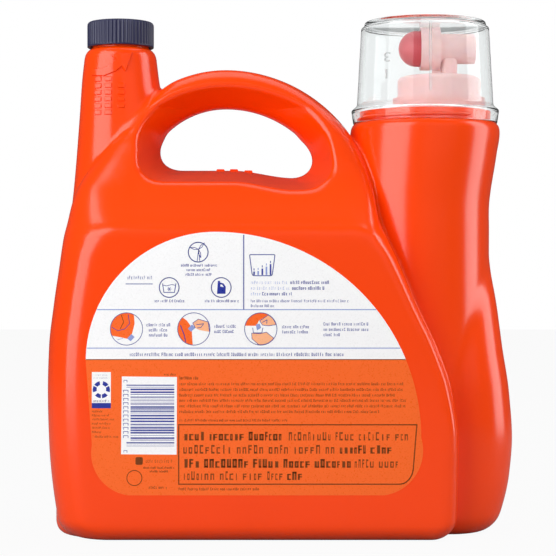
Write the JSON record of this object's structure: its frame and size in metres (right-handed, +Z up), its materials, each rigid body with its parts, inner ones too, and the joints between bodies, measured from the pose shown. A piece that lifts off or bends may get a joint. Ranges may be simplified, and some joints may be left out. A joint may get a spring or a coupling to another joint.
{
  "type": "laundry detergent bottle",
  "caption": "Large blow-moulded detergent jug with a see-through handle, a ribbed vent cap, a press tap with a domed button and a clear dosing cup over it.",
  "frame": {"origin": "middle of the whole object's footprint, at the base", "axes": "+X towards the tap's column, -Y towards the back label, +Z up"},
  "size_m": [0.2741, 0.1244, 0.3052],
  "materials": {
    "bottle_plastic": "blow-moulded polyethylene, orange, smooth gloss",
    "cap_plastic": "injection-moulded polypropylene, navy, satin",
    "liner_foam": "foamed polyethylene disc",
    "tap_plastic": "injection-moulded polypropylene, pale pink, satin",
    "seal_rubber": "soft elastomer, matt",
    "button_rubber": "thermoplastic elastomer, rose red, satin",
    "plunger_plastic": "injection-moulded acetal, natural white",
    "cup_plastic": "injection-moulded clear polypropylene, polished",
    "label_film": "printed polypropylene film, gloss varnish"
  },
  "bodies": {
    "bottle": {"bottle": "bottle_plastic", "bottle_handle": "bottle_plastic", "tap_body": "tap_plastic", "tap_neck_gasket": "seal_rubber", "button_retainer": "tap_plastic", "back_label": "label_film", "front_label": "label_film"},
    "button": {"press_button": "button_rubber", "valve_plunger": "plunger_plastic", "valve_seal": "seal_rubber"},
    "liner": {"vent_cap_liner": "liner_foam"},
    "vent_cap": {"vent_cap": "cap_plastic"},
    "dosing_cup": {"dosing_cup": "cup_plastic"}
  },
  "joints": [
    {"name": "button_press", "type": "slide", "parent": "bottle", "child": "button", "axis": [1, 0, 0], "range_m": [0, 0.0035], "stiffness_N_per_m": 2000, "springref_m": -0.001},
    {"name": "vent_cap_rise", "type": "slide", "parent": "bottle", "child": "liner", "axis": [0, 0, 1], "range_m": [0, 0.006]},
    {"name": "vent_cap_turn", "type": "hinge", "parent": "liner", "child": "vent_cap", "pos_m": [-0.0979, 0, 0.2975], "axis": [0, 0, 1], "range_deg": [0, 540]},
    {"name": "dosing_cup_lift", "type": "slide", "parent": "bottle", "child": "dosing_cup", "axis": [0, 0, 1], "range_m": [0, 0.065]}
  ],
  "couplings": [
    {"joint": "vent_cap_rise", "follows": "vent_cap_turn", "m_per_rad": 0.000636}
  ]
}
